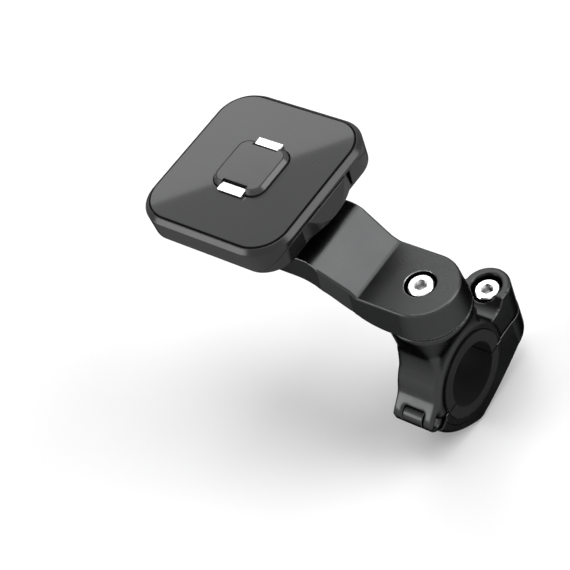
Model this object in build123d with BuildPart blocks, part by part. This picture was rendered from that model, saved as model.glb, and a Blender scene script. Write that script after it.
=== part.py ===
"""Handlebar mount with a locking quick-release head: clamp, cranked arm and head.

Frame: millimetres, +X along the handlebar, +Y forward, +Z up along the bolts.
The origin lies on the bar's axis, in the clamp's middle plane.
"""

from build123d import *
import math
import os

os.makedirs("parts", exist_ok=True)

# Handlebar and the rubber liner round it
bar_diameter = 22.2
liner_thickness = 2.4
liner_half_width = 8.8
liner_flange_height = 1.4
liner_flange_thickness = 1.2
liner_seat_gap = 0.05

# Clamp ring, neck and split
ring_radius = 18.2
ring_half_width = 8.4
ring_edge_chamfer = 1.0
neck_half_width = 8.0
neck_edge_chamfer = 1.0
neck_mid_y = -14.3
neck_mid_height = 11.6
neck_foot_y = -16.5
neck_foot_height = 7.3
split_height = -2.2
split_gap = 0.8

# Hinge on the rider's side
hinge_y = -19.8
knuckle_radius = 3.4
knuckle_half_width = 3.6
knuckle_outer_half = 7.2
knuckle_side_gap = 0.15
knuckle_swing_gap = 0.35
hinge_pin_radius = 1.5
hinge_pin_half_length = 7.0
hinge_pin_chamfer = 0.2
hinge_running_gap = 0.05

# Ear, its deep counterbore and the valley between the ear and the boss
ear_y = 26.45
ear_radius = 8.0
ear_height = 10.6
ear_rim_chamfer = 0.6
ear_counterbore_depth = 6.7
valley_radius = 7.0
valley_y = 18.0
valley_height = 14.6

# Lower clamp half
lower_ear_radius = 8.2
lower_ear_tip_y = 36.0
lower_ear_tip_depth = 9.6
belly_front_y = 16.0
belly_front_depth = 18.5
belly_low_y = -1.4
belly_low_depth = 23.2
belly_back_y = -11.0
belly_back_depth = 17.5
belly_end_y = -21.4
belly_end_depth = 4.0
belly_round = 6.0
clamp_insert_length = 8.0
clamp_insert_bore_gap = 0.43

# Boss on top of the clamp, and the friction washer that the arm turns on
boss_radius = 14.0
boss_height = 30.4
boss_rim = 1.4
boss_root_height = 20.0
boss_root_depth = 12.1
boss_root_corner = 3.0
swivel_washer_thickness = 0.6
swivel_washer_inset = 0.8
swivel_running_gap = 0.08

# Arm
arm_thickness = 10.2
arm_draft = 7.3
arm_rise = 11.1
arm_incline = 37.0
arm_bend_x = -15.9
arm_bend_radius = 2.0
arm_crest_radius = 7.0
arm_under_start_x = -5.0
arm_under_mid_x = -19.0
arm_under_mid_rise = 3.7
arm_under_end_x = -37.0
arm_tail_thickness = 8.2
arm_tail_flare = 1.9
arm_flare_start_x = -18.5
arm_flare_end_x = -27.5
arm_edge_round = 0.8

# M5 socket cap screws of the arm and the clamp, and their threaded inserts
bolt_radius = 2.5
bolt_thread_radius = 2.07
bolt_head_radius = 4.25
bolt_head_height = 5.0
bolt_head_edge = 0.4
bolt_socket_flats = 4.0
bolt_socket_depth = 2.6
bolt_hole_gap = 0.25
bolt_head_gap = 1.0
bolt_washer_thickness = 0.8
bolt_washer_radius = 4.7
arm_head_recess = 0.4
arm_bolt_length = 16.0
clamp_bolt_length = 12.0
insert_radius = 3.6
insert_flange_radius = 4.4
insert_flange_height = 0.8
insert_end_gap = 0.6
thread_gap = 0.05

# Head: place, soft pad and the rim round it
head_x = -55.4
head_height = 19.7
pad_thickness = 2.0
pad_half_x = 26.35
pad_half_y = 27.4
pad_corner = 10.5
pad_edge_round = 0.3
pad_groove = 0.3
rim_drop = 0.3
rim_lip = 0.3
rim_bevel_width = 1.4
rim_bevel_drop = 1.5

# Head: walls, deck and the seam between the two housings
wall_height = 10.4
wall_foot_half_x = 27.45
wall_foot_half_y = 28.25
wall_foot_corner = 9.8
wall_thickness = 2.2
deck_thickness = 1.6
seam_gap = 0.15
seam_foot_x = 20.6
seam_foot_rise = 1.0
seam_mid_x = 24.8
seam_mid_rise = 3.2
seam_top_x = 28.4
seam_top_drop = 1.1

# Head: underside and hub
hub_radius = 13.2
hub_corner = 12.6
hub_height = 2.2
dish_floor = 2.6
dish_sill = 1.1
dish_edge_round = 0.8

# Release buttons and their cam slides
button_half_width = 12.6
button_gap = 0.2
button_bulge_x = 30.2
button_end_x = 27.2
button_shoulder_x = 28.5
button_flange_extra = 1.7
button_flange_thickness = 1.6
button_travel = 2.0
slide_thickness = 1.6
slide_half_width = 10.5
slide_inner_x = 2.3
slide_gap = 0.15

# Jaws
jaw_travel = 0.8
jaw_half_width = 4.75
jaw_drop = 0.6
jaw_inner_y = 8.6
jaw_leg_thickness = 1.3
jaw_tip_y = 11.65
jaw_lip_thickness = 0.8
jaw_lip_chamfer = 0.25
jaw_gap = 0.2
jaw_plate_half_x = 9.0
jaw_plate_inner_y = 4.0
jaw_plate_outer_y = 10.4
jaw_plate_thickness = 1.7
cam_pin_radius = 1.0
cam_pin_x = 5.5
cam_pin_y = 7.2
cam_pin_overhang = 0.3
cam_gap = 0.1

# Locking nub
nub_height = 1.8
nub_half = 9.05
nub_corner = 3.6
nub_bevel_width = 0.9
nub_bevel_height = 1.4
nub_gap = 0.2

# Button springs and their seats
spring_radius = 1.7
spring_wall = 0.6
spring_scallop = 0.3
spring_coils = 8
spring_drop = 1.5
spring_seat_x = 14.0
spring_seat_thickness = 1.5
spring_seat_half = 2.4
spring_seat_depth = 1.8
spring_seat_rise = 0.3
spring_post_half_x = 1.9
spring_post_half_y = 2.2
spring_window_half = 2.6

# Slide rails and screw columns in the head
rail_width = 1.7
rail_ledge = 1.0
rail_half_length = 20.8
column_radius = 3.0
column_x = 18.0
column_y = 19.0
column_joint_drop = 5.4
hub_column_extra = 0.8

# Small screws: nub, housing and hub
nub_screw_x = 6.5
nub_screw_radius = 1.0
nub_screw_head_radius = 1.9
nub_screw_head_height = 1.4
nub_screw_length = 4.4
housing_screw_radius = 1.25
housing_screw_head_radius = 2.25
housing_screw_head_height = 1.6
housing_screw_end_drop = 0.7
housing_screw_seat_rise = 0.1
hub_screw_x = 6.5
hub_screw_radius = 1.5
hub_screw_head_radius = 2.75
hub_screw_head_height = 3.0
hub_screw_length = 10.0
hub_screw_recess = 0.4
screw_gap = 0.2
screw_end_gap = 0.4
screw_edge = 0.2
screw_socket_share = 0.55

# Levels and radii worked out from the sizes above
bar_radius = bar_diameter / 2
liner_outer = bar_radius + liner_thickness
liner_step = liner_half_width - liner_flange_thickness
split_top = split_height + split_gap / 2
split_bottom = split_height - split_gap / 2
arm_base = boss_height + swivel_washer_thickness
arm_front_radius = boss_radius
arm_tail_radius = arm_front_radius + arm_tail_flare
arm_low_top = arm_base + arm_thickness
arm_high_top = arm_low_top + arm_rise
arm_tail_base = arm_high_top - arm_tail_thickness
arm_crest_x = arm_bend_x - arm_rise / math.tan(math.radians(arm_incline))
arm_bolt_seat = arm_low_top - arm_head_recess - bolt_head_height
arm_bolt_end = arm_bolt_seat - arm_bolt_length
arm_insert_length = boss_height - arm_bolt_end + insert_end_gap
ear_seat = ear_height - ear_counterbore_depth
counterbore_radius = bolt_head_radius + bolt_head_gap
pad_height = arm_high_top + head_height
wall_foot_height = pad_height - wall_height
deck_top = pad_height - pad_thickness
deck_bottom = deck_top - deck_thickness
rim_top = pad_height - rim_drop
wall_top = rim_top - rim_bevel_drop
rim_inner_x = pad_half_x + pad_groove
rim_inner_y = pad_half_y + pad_groove
rim_inner_corner = pad_corner + pad_groove
cavity_half_x = wall_foot_half_x - wall_thickness
cavity_half_y = wall_foot_half_y - wall_thickness
cavity_corner = wall_foot_corner - wall_thickness
cavity_foot = wall_foot_height + dish_sill
hub_top = arm_high_top + hub_height
window_half = button_half_width + button_gap
window_top = wall_top - seam_top_drop
button_foot = cavity_foot + button_gap
button_top = window_top - button_gap
button_back = cavity_half_x - button_gap
nub_top = pad_height + nub_height
nub_base_half = nub_half + nub_bevel_width
jaw_top = nub_top - jaw_drop
jaw_plate_top = deck_bottom - slide_gap
jaw_plate_base = jaw_plate_top - jaw_plate_thickness
jaw_slot_inner = jaw_inner_y - jaw_travel - jaw_gap
jaw_slot_outer = jaw_inner_y + jaw_leg_thickness + jaw_gap
jaw_slot_half = jaw_half_width + jaw_gap
slide_top = jaw_plate_base - slide_gap
slide_base = slide_top - slide_thickness
spring_height = slide_top - spring_drop
spring_seat_top = slide_top + spring_seat_rise
column_joint = deck_bottom - column_joint_drop
housing_screw_seat = wall_foot_height + housing_screw_seat_rise
housing_screw_length = deck_bottom - housing_screw_end_drop - housing_screw_seat
hub_screw_seat = arm_tail_base + hub_screw_recess + hub_screw_head_height
hub_column_top = hub_screw_seat + hub_screw_length + hub_column_extra
column_places = [(x, y) for x in (-column_x, column_x) for y in (-column_y, column_y)]
nub_screw_places = [(-nub_screw_x, 0), (nub_screw_x, 0)]
hub_screw_places = [(-hub_screw_x, 0), (hub_screw_x, 0)]
far = 4 * ring_radius
over = 1.0
fine = 0.01


def head_plane(height):
    """Level plane at a height, centred on the head."""
    return Plane((head_x, 0, height))


def across_bar(x=0.0):
    """Plane across the bar: its x runs along +Y and its y along +Z."""
    return Plane((x, 0, 0), x_dir=(0, 1, 0), z_dir=(1, 0, 0))


def along_bar(y=0.0):
    """Upright plane along the bar, centred on the head: its x is +X and its y is +Z."""
    return Plane((head_x, y, 0), x_dir=(1, 0, 0), z_dir=(0, -1, 0))


def finish(builder, name):
    """Label a finished piece and write its file."""
    builder.part.label = name
    export_step(builder.part, f"parts/{name}.step")


def turned(points, plane=Plane.XZ, axis=Axis.Z):
    """Solid turned about an axis from the outline of its section."""
    with BuildPart() as body:
        with BuildSketch(plane):
            with BuildLine():
                Polyline(*points, close=True)
            make_face()
        revolve(axis=axis)
    return body.part


def cap_screw(head_radius, head_height, edge, shank_radius, thread_radius, plain, length, flats, depth):
    """Socket cap screw with its seat at the origin and its head upward."""
    with BuildPart() as screw:
        add(turned([
            (0, head_height),
            (head_radius - edge, head_height),
            (head_radius, head_height - edge),
            (head_radius, 0),
            (shank_radius, 0),
            (shank_radius, -plain),
            (thread_radius, -plain),
            (thread_radius, edge - length),
            (thread_radius - edge, -length),
            (0, -length),
        ]))
        with BuildSketch(Plane.XY.offset(head_height)):
            RegularPolygon(flats / 2, 6, major_radius=False)
        extrude(amount=-depth, mode=Mode.SUBTRACT)
    return screw.part


def large_bolt(plain, length):
    """One of the two large bolts: plain under its head, then threaded."""
    return cap_screw(
        bolt_head_radius, bolt_head_height, bolt_head_edge, bolt_radius, bolt_thread_radius,
        plain, length, bolt_socket_flats, bolt_socket_depth,
    )


def small_screw(head_radius, head_height, radius, length):
    """Small socket screw; its socket is a share of its head."""
    return cap_screw(
        head_radius, head_height, screw_edge, radius, radius - thread_gap,
        length / 2, length, 2 * head_radius * screw_socket_share, head_height * screw_socket_share,
    )


def threaded_insert(length, bore):
    """Flanged insert with its flange's top face at the origin."""
    return turned([
        (bore, 0),
        (insert_flange_radius, 0),
        (insert_flange_radius, -insert_flange_height),
        (insert_radius, -insert_flange_height),
        (insert_radius, -length),
        (bore, -length),
    ])


def insert_pocket(length):
    """Pocket that an insert of this length sits in."""
    return turned([
        (0, over),
        (insert_flange_radius, over),
        (insert_flange_radius, -insert_flange_height),
        (insert_radius, -insert_flange_height),
        (insert_radius, -length),
        (0, -length),
    ])


# Rubber liners: half shells whose flanges lie in the ring's side recesses
def liner_half(z_from, z_to):
    flange_outer = liner_outer + liner_flange_height
    with BuildPart() as shell:
        add(turned([
            (-liner_half_width, bar_radius),
            (liner_half_width, bar_radius),
            (liner_half_width, flange_outer),
            (liner_step, flange_outer),
            (liner_step, liner_outer),
            (-liner_step, liner_outer),
            (-liner_step, flange_outer),
            (-liner_half_width, flange_outer),
        ], axis=Axis.X))
        with BuildSketch(Plane.XY.offset(z_from)):
            Rectangle(far, far)
        extrude(amount=z_to - z_from, mode=Mode.INTERSECT)
    return shell


liner_upper = liner_half(split_top, far)
finish(liner_upper, "liner_upper")
liner_lower = liner_half(-far, split_bottom)
finish(liner_lower, "liner_lower")


def clamp_ring():
    """Full ring round the liner, with chamfered outer edges."""
    return turned([
        (-ring_half_width, 0),
        (ring_half_width, 0),
        (ring_half_width, ring_radius - ring_edge_chamfer),
        (ring_half_width - ring_edge_chamfer, ring_radius),
        (ring_edge_chamfer - ring_half_width, ring_radius),
        (-ring_half_width, ring_radius - ring_edge_chamfer),
    ], axis=Axis.X)


def liner_seat():
    """Bore and side recesses that the two liners sit in."""
    seat = liner_outer + liner_seat_gap
    recess = seat + liner_flange_height
    return turned([
        (-far, 0),
        (far, 0),
        (far, recess),
        (liner_step, recess),
        (liner_step, seat),
        (-liner_step, seat),
        (-liner_step, recess),
        (-far, recess),
    ], axis=Axis.X)


# Upper clamp: neck, half ring, boss and ear
with BuildPart() as clamp_upper:
    with BuildSketch(across_bar()):
        with BuildLine():
            nape = ThreePointArc(
                (-boss_root_depth, boss_root_height),
                (neck_mid_y, neck_mid_height),
                (neck_foot_y, neck_foot_height),
            )
            Polyline(
                nape @ 1,
                (neck_foot_y, split_top),
                (ear_y, split_top),
                (ear_y, ear_height),
                (boss_root_depth, ear_height),
                (boss_root_depth, boss_root_height),
                nape @ 0,
            )
        make_face()
    extrude(amount=neck_half_width, both=True)
    nape_face = clamp_upper.faces().filter_by(GeomType.CYLINDER).sort_by(Axis.Y)[0]
    chamfer(nape_face.edges().filter_by(Axis.X, reverse=True), neck_edge_chamfer)
    with Locations((0, ear_y, 0)):
        add(turned([
            (0, split_top),
            (ear_radius, split_top),
            (ear_radius, ear_height - ear_rim_chamfer),
            (ear_radius - ear_rim_chamfer, ear_height),
            (0, ear_height),
        ]))
    with BuildSketch(across_bar()):
        with Locations((valley_y, valley_height)):
            Circle(valley_radius)
    extrude(amount=far, both=True, mode=Mode.SUBTRACT)
    add(clamp_ring())
    with BuildSketch(Plane.XY.offset(boss_root_height)):
        RectangleRounded(2 * neck_half_width, 2 * boss_root_depth, boss_root_corner)
    with BuildSketch(Plane.XY.offset(boss_height - boss_rim)):
        RectangleRounded(2 * boss_radius, 2 * boss_radius, boss_radius - boss_rim / 4)
    loft()
    with BuildSketch(Plane.XY.offset(boss_height - boss_rim)):
        Circle(boss_radius)
    extrude(amount=boss_rim)
    add(liner_seat(), mode=Mode.SUBTRACT)
    with BuildSketch(Plane.XY.offset(split_top)):
        Rectangle(far, 2 * far)
    extrude(amount=-far, mode=Mode.SUBTRACT)
    for side in (-1, 1):
        with BuildSketch(across_bar(side * (knuckle_half_width + knuckle_side_gap))):
            with Locations((hinge_y, split_height)):
                Circle(knuckle_radius)
        extrude(amount=side * (knuckle_outer_half - knuckle_half_width - knuckle_side_gap))
    with BuildSketch(across_bar()):
        with Locations((hinge_y, split_height)):
            Circle(knuckle_radius + knuckle_swing_gap)
    extrude(amount=knuckle_half_width + knuckle_side_gap, both=True, mode=Mode.SUBTRACT)
    with BuildSketch(across_bar()):
        with Locations((hinge_y, split_height)):
            Circle(hinge_pin_radius + hinge_running_gap)
    extrude(amount=far, both=True, mode=Mode.SUBTRACT)
    with BuildSketch(Plane.XY.offset(ear_seat)):
        with Locations((0, ear_y)):
            Circle(counterbore_radius)
    extrude(amount=far, mode=Mode.SUBTRACT)
    with BuildSketch(Plane.XY):
        with Locations((0, ear_y)):
            Circle(bolt_radius + bolt_hole_gap)
    extrude(amount=far / 2, both=True, mode=Mode.SUBTRACT)
    with Locations((0, 0, boss_height)):
        add(insert_pocket(arm_insert_length), mode=Mode.SUBTRACT)
finish(clamp_upper, "clamp_upper")

# Lower clamp: swinging half ring with its belly, ear and middle knuckle
with BuildPart() as clamp_lower:
    with BuildSketch(across_bar()):
        with BuildLine():
            Polyline(
                (belly_end_y, -belly_end_depth),
                (hinge_y, split_bottom),
                (lower_ear_tip_y, split_bottom),
                (lower_ear_tip_y, -lower_ear_tip_depth),
            )
            ThreePointArc(
                (lower_ear_tip_y, -lower_ear_tip_depth),
                (belly_front_y, -belly_front_depth),
                (belly_low_y, -belly_low_depth),
            )
            ThreePointArc(
                (belly_low_y, -belly_low_depth),
                (belly_back_y, -belly_back_depth),
                (belly_end_y, -belly_end_depth),
            )
        make_face()
    extrude(amount=lower_ear_radius, both=True)
    fillet(clamp_lower.edges().filter_by(Axis.X).sort_by(Axis.Z)[0], belly_round)
    with BuildSketch(Plane.XY.offset(split_bottom)):
        with Locations((0, ear_y)):
            Circle(lower_ear_radius)
        with Locations((0, (ear_y - far) / 2)):
            Rectangle(2 * neck_half_width, ear_y + far)
    extrude(amount=-far, mode=Mode.INTERSECT)
    belly_edges = clamp_lower.edges().filter_by(GeomType.LINE, reverse=True).filter_by_position(
        Axis.Z, -far, split_bottom - fine
    )
    chamfer(belly_edges, neck_edge_chamfer)
    add(clamp_ring())
    add(liner_seat(), mode=Mode.SUBTRACT)
    with BuildSketch(Plane.XY.offset(split_bottom)):
        Rectangle(far, 2 * far)
    extrude(amount=far, mode=Mode.SUBTRACT)
    with BuildSketch(across_bar()):
        with Locations((hinge_y, split_height)):
            Circle(knuckle_radius + knuckle_swing_gap)
    extrude(amount=far, both=True, mode=Mode.SUBTRACT)
    with BuildSketch(across_bar()):
        with Locations((hinge_y, split_height)):
            Circle(knuckle_radius)
        with BuildLine():
            Polyline(
                (hinge_y, split_bottom),
                (neck_foot_y, split_bottom),
                (belly_back_y, -belly_back_depth / 2),
                (hinge_y, split_height - knuckle_radius),
                close=True,
            )
        make_face()
    extrude(amount=knuckle_half_width, both=True)
    add(liner_seat(), mode=Mode.SUBTRACT)
    with BuildSketch(across_bar()):
        with Locations((hinge_y, split_height)):
            Circle(hinge_pin_radius + hinge_running_gap)
    extrude(amount=far, both=True, mode=Mode.SUBTRACT)
    with Locations((0, ear_y, split_bottom)):
        add(insert_pocket(clamp_insert_length), mode=Mode.SUBTRACT)
finish(clamp_lower, "clamp_lower")

with BuildPart() as hinge_pin:
    with BuildSketch(across_bar()):
        with Locations((hinge_y, split_height)):
            Circle(hinge_pin_radius)
    extrude(amount=hinge_pin_half_length, both=True)
    chamfer(hinge_pin.edges().filter_by(GeomType.CIRCLE), hinge_pin_chamfer)
finish(hinge_pin, "hinge_pin")

with BuildPart() as clamp_bolt:
    with Locations((0, ear_y, ear_seat)):
        add(large_bolt(ear_seat - split_top, clamp_bolt_length))
finish(clamp_bolt, "clamp_bolt")

with BuildPart() as clamp_insert:
    with Locations((0, ear_y, split_bottom)):
        add(threaded_insert(clamp_insert_length, bolt_thread_radius + clamp_insert_bore_gap))
finish(clamp_insert, "clamp_insert")

with BuildPart() as arm_insert:
    with Locations((0, 0, boss_height)):
        add(threaded_insert(arm_insert_length, bolt_thread_radius + thread_gap))
finish(arm_insert, "arm_insert")

with BuildPart() as arm_bolt:
    with Locations((0, 0, arm_bolt_seat)):
        add(large_bolt(arm_bolt_seat - boss_height, arm_bolt_length))
finish(arm_bolt, "arm_bolt")

with BuildPart() as arm_bolt_washer:
    with BuildSketch(Plane.XY.offset(arm_bolt_seat)):
        Circle(bolt_washer_radius)
        Circle(bolt_radius + bolt_hole_gap, mode=Mode.SUBTRACT)
    extrude(amount=-bolt_washer_thickness)
finish(arm_bolt_washer, "arm_bolt_washer")

with BuildPart() as swivel_washer:
    with BuildSketch(Plane.XY.offset(boss_height)):
        Circle(boss_radius - swivel_washer_inset)
        Circle(bolt_radius + bolt_hole_gap, mode=Mode.SUBTRACT)
    extrude(amount=swivel_washer_thickness)
finish(swivel_washer, "swivel_washer")

# Arm: side profile cut to a tapered plan, with the bolt's seat and the hub screws' holes
with BuildPart() as arm:
    with BuildSketch(Plane.XZ) as arm_side:
        with BuildLine():
            under = Spline(
                (arm_under_start_x, arm_base),
                (arm_under_mid_x, arm_base + arm_under_mid_rise),
                (arm_under_end_x, arm_tail_base),
                tangents=((-1, 0), (-1, 0)),
            )
            Polyline(
                under @ 1,
                (head_x - far, arm_tail_base),
                (head_x - far, arm_high_top),
                (arm_crest_x, arm_high_top),
                (arm_bend_x, arm_low_top),
                (far, arm_low_top),
                (far, arm_base),
                under @ 0,
            )
        make_face()
        for corner, radius in (
            ((arm_crest_x, arm_high_top), arm_crest_radius),
            ((arm_bend_x, arm_low_top), arm_bend_radius),
        ):
            fillet(arm_side.vertices().sort_by_distance(corner)[0], radius)
    extrude(amount=far, both=True)
    with BuildSketch(Plane.XY.offset(arm_base)):
        Circle(arm_front_radius)
        with Locations((head_x, 0)):
            Circle(arm_tail_radius)
        with BuildLine():
            Polyline(
                (0, arm_front_radius),
                (arm_flare_start_x, arm_front_radius),
                (arm_flare_end_x, arm_tail_radius),
                (head_x, arm_tail_radius),
                (head_x, -arm_tail_radius),
                (arm_flare_end_x, -arm_tail_radius),
                (arm_flare_start_x, -arm_front_radius),
                (0, -arm_front_radius),
                close=True,
            )
        make_face()
    extrude(amount=arm_high_top - arm_base + over, taper=arm_draft, mode=Mode.INTERSECT)
    flat_edges = arm.edges().filter_by_position(Axis.Z, arm_low_top - fine, arm_low_top + fine)
    fillet(flat_edges.filter_by(Axis.Y, reverse=True), arm_edge_round)
    with BuildSketch(Plane.XY.offset(arm_bolt_seat - bolt_washer_thickness)):
        Circle(counterbore_radius)
    extrude(amount=far, mode=Mode.SUBTRACT)
    with BuildSketch(Plane.XY):
        Circle(bolt_radius + swivel_running_gap)
    extrude(amount=far, mode=Mode.SUBTRACT)
    with BuildSketch(head_plane(arm_tail_base - over)):
        with Locations(*hub_screw_places):
            Circle(hub_screw_head_radius + screw_gap)
    extrude(amount=hub_screw_seat - arm_tail_base + over, mode=Mode.SUBTRACT)
    with BuildSketch(head_plane(hub_screw_seat)):
        with Locations(*hub_screw_places):
            Circle(hub_screw_radius + screw_gap)
    extrude(amount=far, mode=Mode.SUBTRACT)
finish(arm, "arm")


def seam_profile(drop):
    """Region above the seam between the housings, raised by a clearance."""
    foot = wall_foot_height + seam_foot_rise + drop
    middle = wall_foot_height + seam_mid_rise + drop
    top = window_top + drop
    with BuildPart() as region:
        with BuildSketch(along_bar()):
            with BuildLine():
                Line((-seam_foot_x, foot), (seam_foot_x, foot))
                ThreePointArc((seam_foot_x, foot), (seam_mid_x, middle), (seam_top_x, top))
                Polyline(
                    (seam_top_x, top),
                    (far, top),
                    (far, pad_height + far),
                    (-far, pad_height + far),
                    (-far, top),
                    (-seam_top_x, top),
                )
                ThreePointArc((-seam_top_x, top), (-seam_mid_x, middle), (-seam_foot_x, foot))
            make_face()
        extrude(amount=far, both=True)
    return region.part


def head_block():
    """Tapered block that both housings' walls are cut from, with the rim's bevel on top."""
    lip_x = rim_inner_x + rim_lip
    lip_y = rim_inner_y + rim_lip
    lip_corner = rim_inner_corner + rim_lip
    with BuildPart() as block:
        with BuildSketch(head_plane(wall_foot_height)):
            RectangleRounded(2 * wall_foot_half_x, 2 * wall_foot_half_y, wall_foot_corner)
        with BuildSketch(head_plane(wall_top)):
            RectangleRounded(
                2 * (lip_x + rim_bevel_width), 2 * (lip_y + rim_bevel_width), lip_corner + rim_bevel_width
            )
        loft(ruled=True)
        with BuildSketch(head_plane(wall_top)):
            RectangleRounded(
                2 * (lip_x + rim_bevel_width), 2 * (lip_y + rim_bevel_width), lip_corner + rim_bevel_width
            )
        with BuildSketch(head_plane(rim_top)):
            RectangleRounded(2 * lip_x, 2 * lip_y, lip_corner)
        loft(ruled=True)
    return block.part


def cavity(height):
    """Straight part of the head's inside, up to a height."""
    with BuildPart() as room:
        with BuildSketch(head_plane(cavity_foot)):
            RectangleRounded(2 * cavity_half_x, 2 * cavity_half_y, cavity_corner)
        extrude(amount=height - cavity_foot)
    return room.part


def dish(lift):
    """Underside from the wall's foot in to the hub; the lifted one is the floor inside."""
    if lift:
        half_x, half_y, corner, height = cavity_half_x, cavity_half_y, cavity_corner, cavity_foot
    else:
        half_x, half_y, corner, height = (
            wall_foot_half_x, wall_foot_half_y, wall_foot_corner, wall_foot_height
        )
    with BuildPart() as bowl:
        with BuildSketch(head_plane(hub_top + lift)):
            RectangleRounded(2 * (hub_radius - lift), 2 * (hub_radius - lift), hub_corner - lift)
        with BuildSketch(head_plane(height)):
            RectangleRounded(2 * half_x, 2 * half_y, corner)
        loft(ruled=True)
    return bowl.part


def button_windows():
    """Openings in both side walls that the buttons move in."""
    reach = button_back - button_travel - button_gap
    with BuildPart() as windows:
        with BuildSketch(head_plane(cavity_foot)):
            for side in (-1, 1):
                with Locations((side * (reach + far) / 2, 0)):
                    Rectangle(far - reach, 2 * window_half)
        extrude(amount=window_top - cavity_foot)
    return windows.part


# Upper housing: rim, walls, deck and the tops of the screw columns
with BuildPart() as upper_housing:
    add(head_block())
    with BuildSketch(head_plane(deck_top)):
        RectangleRounded(2 * rim_inner_x, 2 * rim_inner_y, rim_inner_corner)
    extrude(amount=far, mode=Mode.SUBTRACT)
    with BuildSketch(head_plane(wall_foot_height - over)):
        RectangleRounded(2 * cavity_half_x, 2 * cavity_half_y, cavity_corner)
    extrude(amount=deck_bottom - wall_foot_height + over, mode=Mode.SUBTRACT)
    add(seam_profile(seam_gap), mode=Mode.INTERSECT)
    add(button_windows(), mode=Mode.SUBTRACT)
    with BuildSketch(head_plane(column_joint + seam_gap)):
        with Locations(*column_places):
            Circle(column_radius)
    extrude(amount=deck_bottom - column_joint - seam_gap)
    with BuildSketch(head_plane(column_joint)):
        with Locations(*column_places):
            Circle(housing_screw_radius)
    extrude(
        amount=housing_screw_seat + housing_screw_length + screw_end_gap - column_joint,
        mode=Mode.SUBTRACT,
    )
    with BuildSketch(head_plane(deck_bottom)):
        for side in (-1, 1):
            with Locations((0, side * (jaw_slot_inner + jaw_slot_outer) / 2)):
                Rectangle(2 * jaw_slot_half, jaw_slot_outer - jaw_slot_inner)
        with Locations(*nub_screw_places):
            Circle(nub_screw_radius + screw_gap)
    extrude(amount=deck_thickness, mode=Mode.SUBTRACT)
finish(upper_housing, "upper_housing")

# What stands on the lower housing's floor: rails, spring post and columns
with BuildPart() as floor_works:
    with BuildSketch(head_plane(arm_high_top)):
        for side in (-1, 1):
            with Locations((0, side * (slide_half_width + slide_gap + (rail_width - rail_ledge) / 2))):
                Rectangle(2 * rail_half_length, rail_width + rail_ledge)
    extrude(amount=slide_base - slide_gap - arm_high_top)
    with BuildSketch(head_plane(arm_high_top)):
        for side in (-1, 1):
            with Locations((0, side * (slide_half_width + slide_gap + rail_width / 2))):
                Rectangle(2 * rail_half_length, rail_width)
    extrude(amount=slide_top - slide_gap - arm_high_top)
    with BuildSketch(head_plane(arm_high_top)):
        Rectangle(2 * spring_post_half_x, 2 * spring_post_half_y)
    extrude(amount=spring_seat_top - arm_high_top)
    with BuildSketch(head_plane(arm_high_top)):
        with Locations(*hub_screw_places):
            Circle(column_radius)
    extrude(amount=hub_column_top - arm_high_top)
    with BuildSketch(head_plane(arm_high_top)):
        with Locations(*column_places):
            Circle(column_radius)
    extrude(amount=column_joint - arm_high_top)

# Lower housing: dished underside with its hub, and side walls round the buttons
with BuildPart() as lower_shape:
    add(dish(0))
    add(head_block())
    with BuildSketch(head_plane(arm_high_top)):
        RectangleRounded(2 * hub_radius, 2 * hub_radius, hub_corner)
    extrude(amount=hub_height)
    foot_edges = lower_shape.edges().filter_by_position(
        Axis.Z, wall_foot_height - fine, wall_foot_height + fine
    )
    fillet(foot_edges, dish_edge_round)

with BuildPart() as lower_housing:
    add(lower_shape.part)
    add(cavity(pad_height), mode=Mode.SUBTRACT)
    add(dish(dish_floor), mode=Mode.SUBTRACT)
    add(seam_profile(0), mode=Mode.SUBTRACT)
    add(button_windows(), mode=Mode.SUBTRACT)
    add(floor_works.part & lower_shape.part)
    with BuildSketch(head_plane(arm_high_top - over)):
        with Locations(*column_places):
            Circle(housing_screw_head_radius + screw_gap)
    extrude(amount=housing_screw_seat - arm_high_top + over, mode=Mode.SUBTRACT)
    with BuildSketch(head_plane(housing_screw_seat)):
        with Locations(*column_places):
            Circle(housing_screw_radius + screw_gap)
    extrude(amount=far, mode=Mode.SUBTRACT)
    with BuildSketch(head_plane(arm_high_top)):
        with Locations(*hub_screw_places):
            Circle(hub_screw_radius)
    extrude(amount=hub_screw_seat + hub_screw_length + screw_end_gap - arm_high_top, mode=Mode.SUBTRACT)
finish(lower_housing, "lower_housing")

# Soft face pad with the opening that the nub stands in
with BuildPart() as face_pad:
    with BuildSketch(head_plane(deck_top)):
        RectangleRounded(2 * pad_half_x, 2 * pad_half_y, pad_corner)
        RectangleRounded(
            2 * (nub_base_half + nub_gap), 2 * (nub_base_half + nub_gap),
            nub_corner + nub_bevel_width + nub_gap, mode=Mode.SUBTRACT,
        )
    extrude(amount=pad_thickness)
    chamfer(face_pad.faces().sort_by(Axis.Z)[-1].edges(), pad_edge_round)
finish(face_pad, "face_pad")

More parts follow.
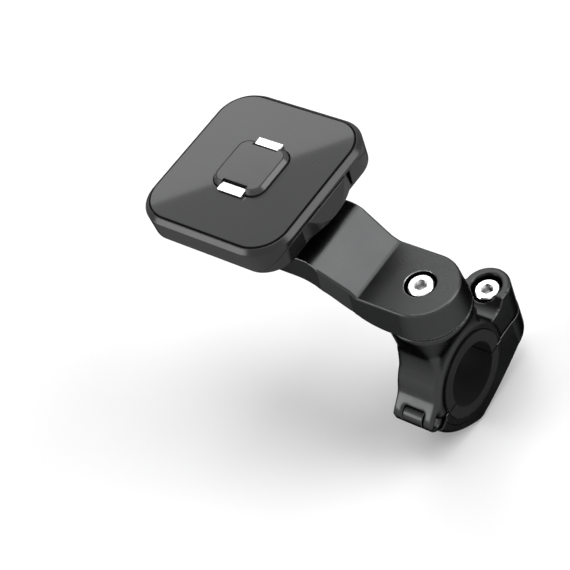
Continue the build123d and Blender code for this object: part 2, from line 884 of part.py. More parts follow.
# Locking nub, with the two slots that the jaws work in
with BuildPart() as lock_nub:
    with BuildSketch(head_plane(deck_top)):
        RectangleRounded(2 * nub_base_half, 2 * nub_base_half, nub_corner + nub_bevel_width)
    extrude(amount=nub_top - nub_bevel_height - deck_top)
    with BuildSketch(head_plane(nub_top - nub_bevel_height)):
        RectangleRounded(2 * nub_base_half, 2 * nub_base_half, nub_corner + nub_bevel_width)
    with BuildSketch(head_plane(nub_top)):
        RectangleRounded(2 * nub_half, 2 * nub_half, nub_corner)
    loft(ruled=True)
    with BuildSketch(head_plane(deck_top)):
        for side in (-1, 1):
            with Locations((0, side * (jaw_slot_inner + far) / 2)):
                Rectangle(2 * jaw_slot_half, far - jaw_slot_inner)
    extrude(amount=far, mode=Mode.SUBTRACT)
    with BuildSketch(head_plane(deck_top)):
        with Locations(*nub_screw_places):
            Circle(nub_screw_radius)
    extrude(amount=nub_screw_length - deck_thickness + screw_end_gap, mode=Mode.SUBTRACT)
finish(lock_nub, "lock_nub")


# Jaws: carrier plate with two cam pins, and a leg up to the steel lip
def jaw(side):
    """Steel catch: leg and lip in the nub's slot, with the plate that the cam slide drives."""
    with BuildPart() as catch:
        with BuildSketch(head_plane(jaw_plate_base)):
            with Locations((0, side * (jaw_plate_inner_y + jaw_plate_outer_y) / 2)):
                Rectangle(2 * jaw_plate_half_x, jaw_plate_outer_y - jaw_plate_inner_y)
        extrude(amount=jaw_plate_thickness)
        with BuildSketch(across_bar(head_x)):
            with BuildLine():
                outer = side * (jaw_inner_y + jaw_leg_thickness)
                Polyline(
                    (side * jaw_inner_y, jaw_plate_base),
                    (side * jaw_inner_y, jaw_top),
                    (side * (jaw_tip_y - jaw_lip_chamfer), jaw_top),
                    (side * jaw_tip_y, jaw_top - jaw_lip_chamfer),
                    (side * jaw_tip_y, jaw_top - jaw_lip_thickness),
                    (outer, jaw_top - jaw_lip_thickness),
                    (outer, jaw_plate_base),
                    close=True,
                )
            make_face()
        extrude(amount=jaw_half_width, both=True)
        with BuildSketch(head_plane(slide_base - cam_pin_overhang)):
            with Locations((-cam_pin_x, side * cam_pin_y), (cam_pin_x, side * cam_pin_y)):
                Circle(cam_pin_radius)
        extrude(amount=jaw_plate_base - slide_base + cam_pin_overhang)
    return catch


finish(jaw(-1), "jaw_rear")
finish(jaw(1), "jaw_front")


# Buttons: bulged cap, retaining flange and the slide whose sloped slots drive the jaws
def button(side):
    """Release button in one piece with its cam slide and the pocket of its spring."""
    slot_length = math.hypot(button_travel, jaw_travel)
    slot_angle = math.degrees(math.atan2(jaw_travel, button_travel))
    cap_depth = button_bulge_x - button_back
    with BuildPart() as key:
        with BuildSketch(head_plane(button_foot)):
            with BuildLine():
                Polyline(
                    (side * button_end_x, -button_half_width),
                    (side * button_back, -button_half_width),
                    (side * button_back, button_half_width),
                    (side * button_end_x, button_half_width),
                )
                ThreePointArc(
                    (side * button_end_x, button_half_width),
                    (side * button_bulge_x, 0),
                    (side * button_end_x, -button_half_width),
                )
            make_face()
        extrude(amount=button_top - button_foot)
        with BuildSketch(along_bar()):
            with BuildLine():
                Polyline(
                    (side * button_shoulder_x, button_top),
                    (side * (button_bulge_x + cap_depth), button_top),
                    (side * (button_bulge_x + cap_depth), button_foot),
                    (side * button_bulge_x, button_foot),
                    close=True,
                )
            make_face()
        extrude(amount=far, both=True, mode=Mode.SUBTRACT)
        flange_x = button_back - button_flange_thickness / 2
        with BuildSketch(head_plane(button_foot)):
            with Locations((side * flange_x, 0)):
                Rectangle(button_flange_thickness, 2 * (button_half_width + button_flange_extra))
        extrude(amount=jaw_plate_top - button_foot)
        with BuildSketch(head_plane(slide_base)):
            with Locations((side * (slide_inner_x + button_back) / 2, 0)):
                Rectangle(button_back - slide_inner_x, 2 * slide_half_width)
            with Locations((side * (slide_inner_x + spring_seat_x) / 2, 0)):
                Rectangle(spring_seat_x - slide_inner_x, 2 * spring_window_half, mode=Mode.SUBTRACT)
            for end in (-1, 1):
                with Locations((
                    side * (cam_pin_x + button_travel / 2), end * (cam_pin_y - jaw_travel / 2)
                )):
                    SlotCenterToCenter(
                        slot_length, 2 * (cam_pin_radius + cam_gap),
                        rotation=-side * end * slot_angle, mode=Mode.SUBTRACT,
                    )
        extrude(amount=slide_thickness)
        with BuildSketch(head_plane(slide_base - spring_seat_depth)):
            with Locations((side * (spring_seat_x + spring_seat_thickness / 2), 0)):
                Rectangle(spring_seat_thickness, 2 * spring_seat_half)
        extrude(amount=spring_seat_top - slide_base + spring_seat_depth)
    return key


finish(button(-1), "button_left")
finish(button(1), "button_right")


# Springs between the middle post and each slide's seat
def spring(side):
    """Coil spring between the post and a button's pocket, as a ridged tube."""
    pitch = (spring_seat_x - spring_post_half_x) / spring_coils
    crest = spring_height + spring_radius
    ridges = [
        (spring_post_half_x + step * pitch / 2, crest - spring_scallop * (1 - step % 2))
        for step in range(2 * spring_coils + 1)
    ]
    with BuildPart() as coil:
        with BuildSketch(along_bar()):
            with BuildLine():
                Polyline(
                    *((side * x, z) for x, z in ridges),
                    (side * spring_seat_x, crest - spring_wall),
                    (side * spring_post_half_x, crest - spring_wall),
                    close=True,
                )
            make_face()
        revolve(axis=Axis((head_x, 0, spring_height), (1, 0, 0)))
    return coil


finish(spring(-1), "spring_left")
finish(spring(1), "spring_right")

# Small screws, all driven in from below
with BuildPart() as nub_screws:
    for x, y in nub_screw_places:
        with Locations(Location((head_x + x, y, deck_bottom), (180, 0, 0))):
            add(small_screw(
                nub_screw_head_radius, nub_screw_head_height, nub_screw_radius, nub_screw_length
            ))
finish(nub_screws, "nub_screws")

with BuildPart() as housing_screws:
    for x, y in column_places:
        with Locations(Location((head_x + x, y, housing_screw_seat), (180, 0, 0))):
            add(small_screw(
                housing_screw_head_radius, housing_screw_head_height,
                housing_screw_radius, housing_screw_length,
            ))
finish(housing_screws, "housing_screws")

with BuildPart() as hub_screws:
    for x, y in hub_screw_places:
        with Locations(Location((head_x + x, y, hub_screw_seat), (180, 0, 0))):
            add(small_screw(
                hub_screw_head_radius, hub_screw_head_height, hub_screw_radius, hub_screw_length
            ))
finish(hub_screws, "hub_screws")
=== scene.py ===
"""Looks of the locking handlebar device mount: finishes, small details, light and camera."""

import bmesh
import bpy
import math
from mathutils import Matrix, Vector


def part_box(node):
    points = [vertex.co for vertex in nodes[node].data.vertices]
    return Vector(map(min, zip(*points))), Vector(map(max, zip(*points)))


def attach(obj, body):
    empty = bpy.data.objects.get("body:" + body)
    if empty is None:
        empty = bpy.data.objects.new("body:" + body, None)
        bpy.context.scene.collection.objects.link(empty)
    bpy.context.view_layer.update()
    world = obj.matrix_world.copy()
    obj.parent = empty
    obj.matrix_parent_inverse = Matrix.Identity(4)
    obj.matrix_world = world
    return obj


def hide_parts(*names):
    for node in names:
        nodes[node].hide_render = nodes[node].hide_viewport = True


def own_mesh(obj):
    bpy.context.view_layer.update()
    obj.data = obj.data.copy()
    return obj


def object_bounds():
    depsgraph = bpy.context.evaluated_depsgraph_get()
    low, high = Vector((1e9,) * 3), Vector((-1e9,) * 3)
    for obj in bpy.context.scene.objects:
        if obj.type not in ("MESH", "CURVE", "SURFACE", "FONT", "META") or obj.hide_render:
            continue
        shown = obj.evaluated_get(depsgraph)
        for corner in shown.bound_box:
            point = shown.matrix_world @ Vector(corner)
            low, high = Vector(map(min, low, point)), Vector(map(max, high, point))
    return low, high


MM = 0.001
HEAD_X = -55.4 * MM

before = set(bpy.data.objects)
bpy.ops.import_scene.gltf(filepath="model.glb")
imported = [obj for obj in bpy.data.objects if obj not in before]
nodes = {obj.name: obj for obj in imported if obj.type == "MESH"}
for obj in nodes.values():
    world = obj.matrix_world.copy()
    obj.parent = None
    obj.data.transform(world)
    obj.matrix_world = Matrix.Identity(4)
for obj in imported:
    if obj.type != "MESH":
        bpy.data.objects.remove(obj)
cad_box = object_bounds()


# Shader helpers
def new_node(tree, kind, **properties):
    """Add a shader node and set its properties."""
    node = tree.nodes.new(kind)
    for name, value in properties.items():
        setattr(node, name, value)
    return node


def feed(tree, value, socket):
    """Link an output to a socket, or set the socket to a number or colour."""
    if isinstance(value, bpy.types.NodeSocket):
        tree.links.new(value, socket)
    else:
        socket.default_value = value


def surface_place(tree):
    """Coordinates that stay with the piece, in metres."""
    return new_node(tree, "ShaderNodeTexCoord").outputs["Object"]


def noise(tree, scale, detail, roughness, coordinates=None):
    node = new_node(tree, "ShaderNodeTexNoise")
    feed(tree, coordinates or surface_place(tree), node.inputs["Vector"])
    feed(tree, scale, node.inputs["Scale"])
    feed(tree, detail, node.inputs["Detail"])
    feed(tree, roughness, node.inputs["Roughness"])
    return node.outputs["Fac"]


def math_node(tree, operation, *values, clamp=False):
    node = new_node(tree, "ShaderNodeMath", operation=operation, use_clamp=clamp)
    for socket, value in zip(node.inputs, values):
        feed(tree, value, socket)
    return node.outputs[0]


def remap(tree, value, from_low, from_high, to_low, to_high):
    """Carry one range of values over to another and stop at its ends."""
    node = new_node(tree, "ShaderNodeMapRange")
    feed(tree, value, node.inputs["Value"])
    limits = {"From Min": from_low, "From Max": from_high, "To Min": to_low, "To Max": to_high}
    for title, number in limits.items():
        feed(tree, number, node.inputs[title])
    return node.outputs["Result"]


def mix_colour(tree, share, first, second):
    """First colour where the share is 0 and the second where it is 1."""
    node = new_node(tree, "ShaderNodeMix", data_type="RGBA")
    feed(tree, share, node.inputs["Factor"])
    feed(tree, first, node.inputs["A"])
    feed(tree, second, node.inputs["B"])
    return node.outputs["Result"]


def opaque(colour, share=1.0):
    """Colour as a socket takes it, at a share of its brightness."""
    return (*(channel * share for channel in colour), 1.0)


def effect_group(name, inputs, outputs):
    """Empty shader group with named number inputs and the given outputs."""
    tree = bpy.data.node_groups.new(name, "ShaderNodeTree")
    for title, value in inputs.items():
        socket = tree.interface.new_socket(title, in_out="INPUT", socket_type="NodeSocketFloat")
        socket.default_value = value
    for title, kind in outputs.items():
        tree.interface.new_socket(title, in_out="OUTPUT", socket_type=kind)
    entry = tree.nodes.new("NodeGroupInput")
    leave = tree.nodes.new("NodeGroupOutput")
    return tree, entry.outputs, leave.inputs


def place_effect(tree, group, **values):
    """Put a shared effect into a material and return its outputs."""
    node = new_node(tree, "ShaderNodeGroup", node_tree=group)
    for title, value in values.items():
        feed(tree, value, node.inputs[title.replace("_", " ")])
    return node.outputs


# Effects that several finishes share
def build_satin_grain():
    """Fine moulded or blasted grain: its height and a slow drift of tone."""
    tree, given, result = effect_group(
        "satin_grain",
        {"Grain per metre": 9000.0, "Drift per metre": 60.0},
        {"Height": "NodeSocketFloat", "Drift": "NodeSocketFloat"},
    )
    height = noise(tree, given["Grain per metre"], detail=3.0, roughness=0.6)
    drift = noise(tree, given["Drift per metre"], detail=5.0, roughness=0.55)
    feed(tree, height, result["Height"])
    feed(tree, drift, result["Drift"])
    return tree


def build_edge_wear_and_highlight():
    """Rounded normal near edges and a mask that is 1 on them, broken up by noise: edge wear and
    painted highlight.
    """
    tree, given, result = effect_group(
        "edge_wear_and_highlight",
        {"Radius": 0.4 * MM, "Gain": 3.0},
        {"Mask": "NodeSocketFloat", "Normal": "NodeSocketVector"},
    )
    bevel = new_node(tree, "ShaderNodeBevel", samples=6)
    feed(tree, given["Radius"], bevel.inputs["Radius"])
    rounded_normal = bevel.outputs["Normal"]
    true_normal = new_node(tree, "ShaderNodeNewGeometry").outputs["Normal"]
    agreement = new_node(tree, "ShaderNodeVectorMath", operation="DOT_PRODUCT")
    feed(tree, rounded_normal, agreement.inputs[0])
    feed(tree, true_normal, agreement.inputs[1])
    away = math_node(tree, "SUBTRACT", 1.0, agreement.outputs["Value"])
    strong = math_node(tree, "MULTIPLY", away, given["Gain"])
    patches = noise(tree, 700.0, detail=6.0, roughness=0.7)
    broken = remap(tree, patches, 0.35, 0.65, 0.35, 1.0)
    feed(tree, math_node(tree, "MULTIPLY", strong, broken, clamp=True), result["Mask"])
    feed(tree, rounded_normal, result["Normal"])
    return tree


def build_handling_marks():
    """Faint smudges and hair scratches that change how sharply a surface shines."""
    tree, given, result = effect_group(
        "handling_marks",
        {"Smudges per metre": 45.0, "Scratches per metre": 260.0},
        {"Smudge": "NodeSocketFloat", "Scratch": "NodeSocketFloat"},
    )
    smudge = noise(tree, given["Smudges per metre"], detail=6.0, roughness=0.65)
    feed(tree, remap(tree, smudge, 0.35, 0.7, 0.0, 1.0), result["Smudge"])
    stretch = new_node(tree, "ShaderNodeMapping")
    feed(tree, (0.0, 0.0, math.radians(37.0)), stretch.inputs["Rotation"])
    feed(tree, (1.0, 14.0, 5.0), stretch.inputs["Scale"])
    feed(tree, surface_place(tree), stretch.inputs["Vector"])
    lines = noise(
        tree, given["Scratches per metre"], detail=2.0, roughness=0.5,
        coordinates=stretch.outputs["Vector"],
    )
    feed(tree, remap(tree, lines, 0.66, 0.72, 0.0, 1.0), result["Scratch"])
    return tree


def build_recess_shade():
    """Mask of painted shade that is 1 deep in sockets, grooves and inside corners."""
    tree, given, result = effect_group(
        "recess_shade", {"Reach": 1.5 * MM}, {"Mask": "NodeSocketFloat"}
    )
    open_sky = new_node(tree, "ShaderNodeAmbientOcclusion", samples=8, only_local=True)
    feed(tree, given["Reach"], open_sky.inputs["Distance"])
    feed(tree, remap(tree, open_sky.outputs["AO"], 0.35, 0.85, 1.0, 0.0), result["Mask"])
    return tree


def build_outline():
    """Mask of a thin line that follows a rounded square, seen from above."""
    tree, given, result = effect_group(
        "outline",
        {
            "Centre X": 0.0, "Half X": 10.0 * MM, "Half Y": 10.0 * MM, "Corner": 2.0 * MM,
            "Width": 0.2 * MM,
        },
        {"Mask": "NodeSocketFloat"},
    )

    def calculate(operation, *values):
        return math_node(tree, operation, *values)

    place = new_node(tree, "ShaderNodeSeparateXYZ")
    feed(tree, surface_place(tree), place.inputs[0])
    corner = given["Corner"]
    away_x = calculate("ABSOLUTE", calculate("SUBTRACT", place.outputs["X"], given["Centre X"]))
    away_y = calculate("ABSOLUTE", place.outputs["Y"])
    past_x = calculate("SUBTRACT", away_x, calculate("SUBTRACT", given["Half X"], corner))
    past_y = calculate("SUBTRACT", away_y, calculate("SUBTRACT", given["Half Y"], corner))
    out_x = calculate("MAXIMUM", past_x, 0.0)
    out_y = calculate("MAXIMUM", past_y, 0.0)
    squares = calculate(
        "ADD", calculate("MULTIPLY", out_x, out_x), calculate("MULTIPLY", out_y, out_y)
    )
    inside = calculate("MINIMUM", calculate("MAXIMUM", past_x, past_y), 0.0)
    distance = calculate("ADD", calculate("SQRT", squares), inside)
    off_line = calculate("ABSOLUTE", calculate("SUBTRACT", distance, corner))
    share = calculate("DIVIDE", off_line, given["Width"])
    feed(tree, remap(tree, share, 0.7, 1.0, 1.0, 0.0), result["Mask"])
    return tree


SATIN_GRAIN = build_satin_grain()
EDGE_WEAR_AND_HIGHLIGHT = build_edge_wear_and_highlight()
HANDLING_MARKS = build_handling_marks()
RECESS_SHADE = build_recess_shade()
OUTLINE = build_outline()
GRAIN_STRENGTH = 0.6
# Painted shade: colour and dullness of the dark lines that stand for shaded grooves
SHADE_LINE_COLOUR = (0.002, 0.002, 0.002, 1.0)
SHADE_LINE_ROUGHNESS = 0.9


# Finishes
def finish_material(
    name, colour, edge_wear_and_highlight_colour, rough, rough_spread, grain_per_metre, grain_depth, metallic=0.0,
    edge_radius=0.4 * MM, edge_gain=2.5, tone_spread=0.17, recess_shade_reach=1.2 * MM,
    recess_shade_share=0.5, shader=None,
):
    """Finish with grain, drift of tone, handling marks, edges lightened by wear and painted
    highlight, and painted shade in recesses.
    """
    material = bpy.data.materials.new(name)
    material.use_nodes = True
    tree = material.node_tree
    surface = tree.nodes["Principled BSDF"].inputs
    surface["Metallic"].default_value = metallic
    for title, value in (shader or {}).items():
        surface[title].default_value = value
    satin = place_effect(tree, SATIN_GRAIN, Grain_per_metre=grain_per_metre)
    wear_and_highlight = place_effect(tree, EDGE_WEAR_AND_HIGHLIGHT, Radius=edge_radius, Gain=edge_gain)
    marks = place_effect(tree, HANDLING_MARKS)
    recess_shade = place_effect(tree, RECESS_SHADE, Reach=recess_shade_reach)

    tone = mix_colour(
        tree, satin["Drift"], opaque(colour, 1.0 - tone_spread), opaque(colour, 1.0 + tone_spread)
    )
    # Edges lighter: partly wear, mostly a painted highlight where rounded edges would catch the
    # lamps
    tone = mix_colour(tree, wear_and_highlight["Mask"], tone, opaque(edge_wear_and_highlight_colour))
    # Painted shade: colour darkened in recesses and inside corners by ambient occlusion
    tone = mix_colour(tree, recess_shade["Mask"], tone, opaque(colour, recess_shade_share))
    feed(tree, tone, surface["Base Color"])

    dull = remap(tree, marks["Smudge"], 0.0, 1.0, rough - rough_spread, rough + rough_spread)
    scratched = math_node(tree, "MULTIPLY", marks["Scratch"], rough_spread)
    feed(tree, math_node(tree, "ADD", dull, scratched, clamp=True), surface["Roughness"])

    bump = new_node(tree, "ShaderNodeBump")
    feed(tree, GRAIN_STRENGTH, bump.inputs["Strength"])
    feed(tree, grain_depth, bump.inputs["Distance"])
    feed(tree, satin["Height"], bump.inputs["Height"])
    feed(tree, wear_and_highlight["Normal"], bump.inputs["Normal"])
    feed(tree, bump.outputs["Normal"], surface["Normal"])
    return material


def paint_shade_line(material, half_x, half_y, corner, width):
    """Paint a dark, dull line of shade round the head's centre on a finish, standing for a shaded
    groove, and return its mask.
    """
    tree = material.node_tree
    surface = tree.nodes["Principled BSDF"].inputs
    line = place_effect(
        tree, OUTLINE, Centre_X=HEAD_X, Half_X=half_x, Half_Y=half_y, Corner=corner, Width=width
    )["Mask"]
    tone = surface["Base Color"].links[0].from_socket
    feed(tree, mix_colour(tree, line, tone, SHADE_LINE_COLOUR), surface["Base Color"])
    rough = surface["Roughness"].links[0].from_socket
    dull_line = math_node(tree, "MULTIPLY", line, SHADE_LINE_ROUGHNESS)
    feed(tree, math_node(tree, "MAXIMUM", rough, dull_line), surface["Roughness"])
    return line


def fade_coat(material, mask, weight):
    """Take a finish's coat away where a mask is 1."""
    tree = material.node_tree
    left = math_node(tree, "MULTIPLY_ADD", mask, -weight, weight)
    feed(tree, left, tree.nodes["Principled BSDF"].inputs["Coat Weight"])


def dress(material, *names):
    """Give carried-over nodes a finish through their own material slots."""
    for name in names:
        for slot in nodes[name].material_slots:
            slot.material = material


# An absorbing film darkens the plastics where they are seen at a slant
SATIN_SHADER = {
    "Specular IOR Level": 0.6, "Coat Weight": 1.0, "Coat IOR": 1.0,
    "Coat Tint": (0.68, 0.68, 0.68, 1.0), "Coat Roughness": 0.0,
}
SATIN_BLACK = {
    "colour": (0.010, 0.010, 0.0105), "edge_wear_and_highlight_colour": (0.10, 0.10, 0.102),
    "rough": 0.22, "rough_spread": 0.04, "grain_depth": 0.01 * MM, "shader": SATIN_SHADER,
}
# A dark specular tint keeps the anodised alloy near black at a slant
ANODISED_BLACK = {
    "colour": (0.045, 0.0455, 0.046), "rough": 0.29, "rough_spread": 0.04,
    "grain_per_metre": 9000.0, "grain_depth": 0.01 * MM, "metallic": 1.0, "tone_spread": 0.06,
    "shader": {"Specular Tint": (0.1, 0.1, 0.1, 1.0)},
}
FACE_COAT = 0.6

FACE = finish_material(
    "face_soft_touch", (0.017, 0.0175, 0.018), (0.017, 0.017, 0.017),
    rough=0.30, rough_spread=0.03, grain_per_metre=14000.0, grain_depth=0.006 * MM,
    shader={"Specular IOR Level": 0.12, "Coat Weight": FACE_COAT, "Coat Roughness": 0.03},
)
HOUSING = finish_material("housing_satin_black", grain_per_metre=11000.0, **SATIN_BLACK)
BUTTON = finish_material("button_satin_black", grain_per_metre=12000.0, **SATIN_BLACK)
NUB = finish_material(
    "nub_satin_black", (0.024, 0.024, 0.0245), (0.12, 0.12, 0.122),
    rough=0.24, rough_spread=0.04, grain_per_metre=12000.0, grain_depth=0.008 * MM,
    shader={"Specular IOR Level": 0.55},
)
ALLOY = finish_material(
    "black_anodised_alloy", edge_wear_and_highlight_colour=(0.18, 0.18, 0.183), edge_gain=1.6, **ANODISED_BLACK
)
# Copy of the alloy for the arm with a lighter, wider edge colour: painted highlight along the
# arm's rim
ARM_ALLOY = finish_material(
    "arm_anodised_alloy", edge_wear_and_highlight_colour=(0.42, 0.42, 0.425), edge_radius=0.6 * MM, edge_gain=5.0,
    **ANODISED_BLACK
)
PIN_STEEL = finish_material(
    "blackened_steel", (0.05, 0.05, 0.05), (0.16, 0.16, 0.16),
    rough=0.30, rough_spread=0.04, grain_per_metre=7000.0, grain_depth=0.01 * MM, metallic=1.0,
    edge_radius=0.2 * MM, tone_spread=0.06,
)
# Painted shade reaches deep into the bolt heads' hex sockets
BOLT_STEEL = finish_material(
    "bolt_steel", (0.88, 0.88, 0.88), (0.97, 0.97, 0.97),
    rough=0.18, rough_spread=0.04, grain_per_metre=6000.0, grain_depth=0.004 * MM, metallic=1.0,
    edge_radius=0.15 * MM, tone_spread=0.04, recess_shade_reach=2.5 * MM, recess_shade_share=0.25,
)
JAW_STEEL = finish_material(
    "jaw_steel", (0.78, 0.78, 0.785), (0.92, 0.92, 0.92),
    rough=0.30, rough_spread=0.05, grain_per_metre=6000.0, grain_depth=0.004 * MM, metallic=1.0,
    edge_radius=0.15 * MM, tone_spread=0.04,
)
SPRING_STEEL = finish_material(
    "spring_steel", (0.55, 0.55, 0.56), (0.75, 0.75, 0.75),
    rough=0.28, rough_spread=0.05, grain_per_metre=8000.0, grain_depth=0.01 * MM, metallic=1.0,
)
BRASS = finish_material(
    "insert_brass", (0.72, 0.52, 0.24), (0.90, 0.75, 0.45),
    rough=0.28, rough_spread=0.06, grain_per_metre=7000.0, grain_depth=0.01 * MM, metallic=1.0,
)
RUBBER = finish_material(
    "liner_rubber", (0.006, 0.006, 0.006), (0.012, 0.012, 0.012),
    rough=0.72, rough_spread=0.06, grain_per_metre=5000.0, grain_depth=0.04 * MM,
    shader={"Specular IOR Level": 0.1},
)
NYLON = finish_material(
    "washer_nylon", (0.04, 0.04, 0.042), (0.08, 0.08, 0.08),
    rough=0.50, rough_spread=0.05, grain_per_metre=7000.0, grain_depth=0.03 * MM,
)

# Painted shade in the groove round the face pad
face_edge_shade = paint_shade_line(
    FACE, half_x=26.35 * MM, half_y=27.4 * MM, corner=10.5 * MM, width=0.36 * MM
)
fade_coat(FACE, face_edge_shade, FACE_COAT)
# Painted shade line round the nub's top
paint_shade_line(NUB, half_x=8.75 * MM, half_y=8.75 * MM, corner=3.3 * MM, width=0.24 * MM)

dress(FACE, "face_pad")
dress(HOUSING, "upper_housing", "lower_housing")
dress(NUB, "lock_nub")
dress(BUTTON, "button_left", "button_right")
dress(ARM_ALLOY, "arm")
dress(ALLOY, "clamp_lower")
dress(BOLT_STEEL, "arm_bolt", "clamp_bolt", "arm_bolt_washer")
dress(BOLT_STEEL, "nub_screws", "housing_screws", "hub_screws")
dress(PIN_STEEL, "hinge_pin")
dress(JAW_STEEL, "jaw_front", "jaw_rear")
dress(BRASS, "arm_insert", "clamp_insert")
dress(RUBBER, "liner_upper", "liner_lower")
dress(NYLON, "swivel_washer")


def show(name, mesh):
    """Put a mesh into the scene as a piece of its own."""
    piece = bpy.data.objects.new(name, mesh)
    bpy.context.scene.collection.objects.link(piece)
    return piece


def ramp(value, low, high):
    """Rise from 0 to 1 between two values."""
    return min(max((value - low) / (high - low), 0.0), 1.0)


# Upper half of the clamp with its cast blends between boss, neck and hinge.
# Outlines in Y and Z, in millimetres: down the neck's near face and back inside the metal.
NECK_FACE = [(-14.4, 11.6), (-15.3, 8.6), (-17.0, 5.6), (-19.4, 3.1)]
NECK_INSIDE = [(-14.0, 6.0)]
OUTER_FOOT = [(-22.0, 0.7), (-23.1, -1.6), (-22.4, -2.0), (-19.8, 0.5), (-15.8, 1.0)]
MIDDLE_FOOT = [(-20.5, 2.0), (-19.0, 1.7), (-16.6, 0.6), (-15.6, 1.0)]
# Outline of each block with its two ends in X: over the outer knuckles and the middle one
FOOT_BLOCKS = [
    (NECK_FACE + OUTER_FOOT + NECK_INSIDE, -7.7, -3.8),
    (NECK_FACE + MIDDLE_FOOT + NECK_INSIDE, -3.9, 3.9),
    (NECK_FACE + OUTER_FOOT + NECK_INSIDE, 3.8, 7.7),
]
CAST_VOXEL = 0.4 * MM
FLOW_STEPS = 40
FLOW_STEP_SIZE = 0.5
# Between the two values of each pair the smoothing goes from none to full
FLOW_NEAR_SIDE = (9.0 * MM, 12.0 * MM)
FLOW_OVER_HINGE = (-2.0 * MM, 1.0 * MM)
FLOW_OVER_RING = (13.0 * MM, 16.0 * MM)
FLOW_OUTSIDE_BORE = (6.0 * MM, 7.0 * MM)
FLOW_UNDER_SEAM = (-29.0 * MM, -26.0 * MM)


def neck_flow(place):
    """Full on the neck and under the boss, none on the ring, the seam and the bolt's bore."""
    near_side = ramp(-place.y, *FLOW_NEAR_SIDE) * ramp(place.z, *FLOW_OVER_HINGE)
    root = ramp(place.z, *FLOW_OVER_RING) * ramp(place.xy.length, *FLOW_OUTSIDE_BORE)
    return max(near_side, root) * ramp(-place.z, *FLOW_UNDER_SEAM)


def add_block(shape, outline, x_from, x_to):
    """Add a straight block to a mesh."""
    ends = [
        [shape.verts.new((x * MM, y * MM, z * MM)) for y, z in outline] for x in (x_from, x_to)
    ]
    for corner in range(len(outline)):
        before = corner - 1
        shape.faces.new((ends[0][before], ends[0][corner], ends[1][corner], ends[1][before]))
    for end in ends:
        shape.faces.new(end)


def apply_modifiers(piece):
    seen = piece.evaluated_get(bpy.context.evaluated_depsgraph_get())
    piece.data = bpy.data.meshes.new_from_object(seen)
    piece.modifiers.clear()


def cast_clamp_upper():
    """Fine copy of the clamp's upper half, whose neck and boss flow into each other."""
    cast = show("clamp_upper_cast", nodes["clamp_upper"].data.copy())
    shape = bmesh.new()
    shape.from_mesh(cast.data)
    for outline, x_from, x_to in FOOT_BLOCKS:
        add_block(shape, outline, x_from, x_to)
    bmesh.ops.recalc_face_normals(shape, faces=shape.faces)
    shape.to_mesh(cast.data)
    shape.free()

    grid = cast.modifiers.new("grid", "REMESH")
    grid.mode = "VOXEL"
    grid.voxel_size = CAST_VOXEL
    apply_modifiers(cast)

    flow = cast.vertex_groups.new(name="flow")
    for vertex in cast.data.vertices:
        share = neck_flow(vertex.co)
        if share > 0.0:
            flow.add([vertex.index], share, "REPLACE")
    soften = cast.modifiers.new("soften", "SMOOTH")
    soften.factor = FLOW_STEP_SIZE
    soften.iterations = FLOW_STEPS
    soften.vertex_group = flow.name
    apply_modifiers(cast)

    for face in cast.data.polygons:
        face.use_smooth = True
    cast.data.materials.clear()
    cast.data.materials.append(ALLOY)
    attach(cast, "clamp")
    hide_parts("clamp_upper")


cast_clamp_upper()


# Button springs, wound from wire
WIRE_RADIUS = 0.28 * MM
TURNS = 7
STEPS_A_TURN = 24
FACETS = 10
CLOSED_PITCH = 2.2 * WIRE_RADIUS


def coil_rings(inner, outer, radius, height):
    """Rings of points round the wire, along a coil whose first and last turns are closed."""
    way = math.copysign(1.0, outer - inner)
    open_length = abs(outer - inner) - 2 * WIRE_RADIUS - 2 * CLOSED_PITCH
    first_turn, last_turn = (0.0, 1 / TURNS), (1 - 1 / TURNS, 1.0)
    middle_turns = (first_turn[1], last_turn[0])
    forward = Vector((way, 0.0, 0.0))
    rings = []
    for step in range(TURNS * STEPS_A_TURN + 1):
        share = step / (TURNS * STEPS_A_TURN)
        turn = 2 * math.pi * TURNS * share
        closed = CLOSED_PITCH * (ramp(share, *first_turn) + ramp(share, *last_turn))
        along = WIRE_RADIUS + closed + open_length * ramp(share, *middle_turns)
        outward = Vector((0.0, math.cos(turn), math.sin(turn)))
        centre = Vector((inner + way * along, 0.0, height)) + radius * outward
        rings.append([
            centre + WIRE_RADIUS * (math.cos(angle) * outward + math.sin(angle) * forward)
            for angle in (2 * math.pi * facet / FACETS for facet in range(FACETS))
        ])
    return rings


def tube_mesh(name, rings):
    """Closed tube through rings of points."""
    faces = []
    for ring in range(len(rings) - 1):
        for facet in range(FACETS):
            here = ring * FACETS + facet
            beside = ring * FACETS + (facet + 1) % FACETS
            faces.append((here, beside, beside + FACETS, here + FACETS))
    last = (len(rings) - 1) * FACETS
    faces.append(tuple(reversed(range(FACETS))))
    faces.append(tuple(range(last, last + FACETS)))
    mesh = bpy.data.meshes.new(name)
    mesh.from_pydata([point for ring in rings for point in ring], [], faces)
    for face in mesh.polygons:
        face.use_smooth = len(face.vertices) == 4
    return mesh


def wound_spring(name, node_name):
    """Coil of round wire in a node's place."""
    low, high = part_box(node_name)
    height = (low.z + high.z) / 2
    inner, outer = sorted((low.x, high.x), key=lambda x: abs(x - HEAD_X))
    rings = coil_rings(inner, outer, (high.z - low.z) / 2 - WIRE_RADIUS, height)
    coil = show(name, tube_mesh(name, rings))
    coil.data.materials.append(SPRING_STEEL)
    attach(coil, "arm_and_head")
    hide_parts(node_name)
    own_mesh(coil)


wound_spring("spring_left_wire", "spring_left")
wound_spring("spring_right_wire", "spring_right")


# Floor and light
FLOOR_DROP = 0.5 * MM
FLOOR_HALF_SIZE = 0.75
FLOOR_COLOUR = (0.92, 0.92, 0.92, 1.0)
FLOOR_ROUGHNESS = 0.7
ROOM_COLOUR = (0.25, 0.25, 0.25, 1.0)
WHITE = (1.0, 1.0, 1.0, 1.0)
HEAD = Vector((-0.055, 0.0, 0.07))


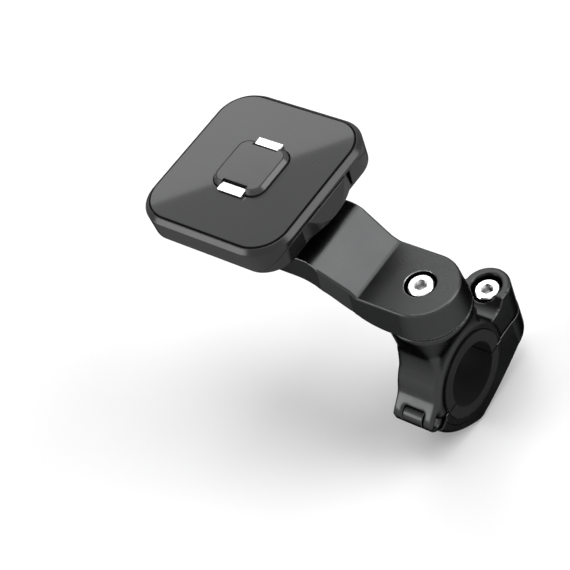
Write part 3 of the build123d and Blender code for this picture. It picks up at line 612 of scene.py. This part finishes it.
def build_world():
    """Grey room that looks white to the camera and in what shines."""
    world = bpy.data.worlds.new("studio")
    bpy.context.scene.world = world
    world.use_nodes = True
    tree = world.node_tree
    rays = new_node(tree, "ShaderNodeLightPath").outputs
    white = math_node(tree, "ADD", rays["Is Camera Ray"], rays["Is Glossy Ray"])
    white = math_node(tree, "ADD", white, rays["Is Transmission Ray"], clamp=True)
    background = tree.nodes["Background"].inputs
    feed(tree, mix_colour(tree, white, ROOM_COLOUR, WHITE), background["Color"])
    feed(tree, 1.0, background["Strength"])


def build_floor():
    """Pale floor that keeps the object's shadow."""
    material = bpy.data.materials.new("pale_floor")
    material.use_nodes = True
    surface = material.node_tree.nodes["Principled BSDF"].inputs
    surface["Base Color"].default_value = FLOOR_COLOUR
    surface["Roughness"].default_value = FLOOR_ROUGHNESS
    height = cad_box[0].z - FLOOR_DROP
    corners = [
        (x * FLOOR_HALF_SIZE, y * FLOOR_HALF_SIZE, height)
        for x, y in ((-1, -1), (1, -1), (1, 1), (-1, 1))
    ]
    mesh = bpy.data.meshes.new("floor")
    mesh.from_pydata(corners, [], [(0, 1, 2, 3)])
    mesh.materials.append(material)
    show("floor", mesh)


def light_panel(name, place, along, size, brightness, aim=HEAD):
    """Soft panel that faces a point, with its long side as near to a direction as it can be."""
    data = bpy.data.lights.new(name, "AREA")
    data.shape = "RECTANGLE"
    data.size, data.size_y = size
    data.energy = brightness * math.pi * size[0] * size[1]
    back = (Vector(place) - Vector(aim)).normalized()
    across = back.cross(Vector(along)).normalized()
    turn = Matrix((across.cross(back), across, back)).transposed().to_4x4()
    lamp = bpy.data.objects.new(name, data)
    lamp.matrix_world = Matrix.Translation(place) @ turn
    lamp.visible_camera = False
    bpy.context.scene.collection.objects.link(lamp)


build_world()
build_floor()
# The near edge of the far left panel lies across the face as a line from corner to corner
light_panel(
    "panel_far_left", (-1.405, 1.090, 1.2), along=(0.695, 0.719, 0.0), size=(1.6, 1.0),
    brightness=2.7, aim=(-1.405, 1.090, 0.0),
)
light_panel(
    "panel_over_arm", (-0.62, 0.70, 1.2), along=(0.0, 1.0, 0.0), size=(0.5, 0.28),
    brightness=2.5, aim=(-0.62, 0.70, 0.0),
)
light_panel(
    "panel_far_right", (1.25, 0.80, 0.98), along=(0.0, 1.0, 0.0), size=(1.1, 1.8), brightness=3.8
)
light_panel(
    "panel_near_left", (-0.95, -1.18, 0.74), along=(0.0, 0.0, 1.0), size=(0.7, 1.0),
    brightness=5.0,
)
light_panel(
    "panel_above", (0.0, 0.3, 1.5), along=(1.0, 0.0, 0.0), size=(1.0, 1.0), brightness=3.0
)


# Camera fitted to the photograph
CAMERA_PLACE = Vector((0.2827, -0.2516, 0.4548))
CAMERA_RIGHT = Vector((0.77361, 0.56651, -0.28387))
CAMERA_UP = Vector((-0.29167, 0.71607, 0.63417))
CAMERA_BACK = Vector((0.56254, -0.40781, 0.71919))
LENS_MM = 115.77
SENSOR_MM = 36.0
CLIP_START = 0.01


def build_camera():
    data = bpy.data.cameras.new("photo_camera")
    data.lens = LENS_MM
    data.sensor_width = SENSOR_MM
    data.clip_start = CLIP_START
    camera = bpy.data.objects.new("photo_camera", data)
    turn = Matrix((CAMERA_RIGHT, CAMERA_UP, CAMERA_BACK)).transposed().to_4x4()
    camera.matrix_world = Matrix.Translation(CAMERA_PLACE) @ turn
    bpy.context.scene.collection.objects.link(camera)
    bpy.context.scene.camera = camera


build_camera()
bpy.context.scene.view_settings.view_transform = "Standard"
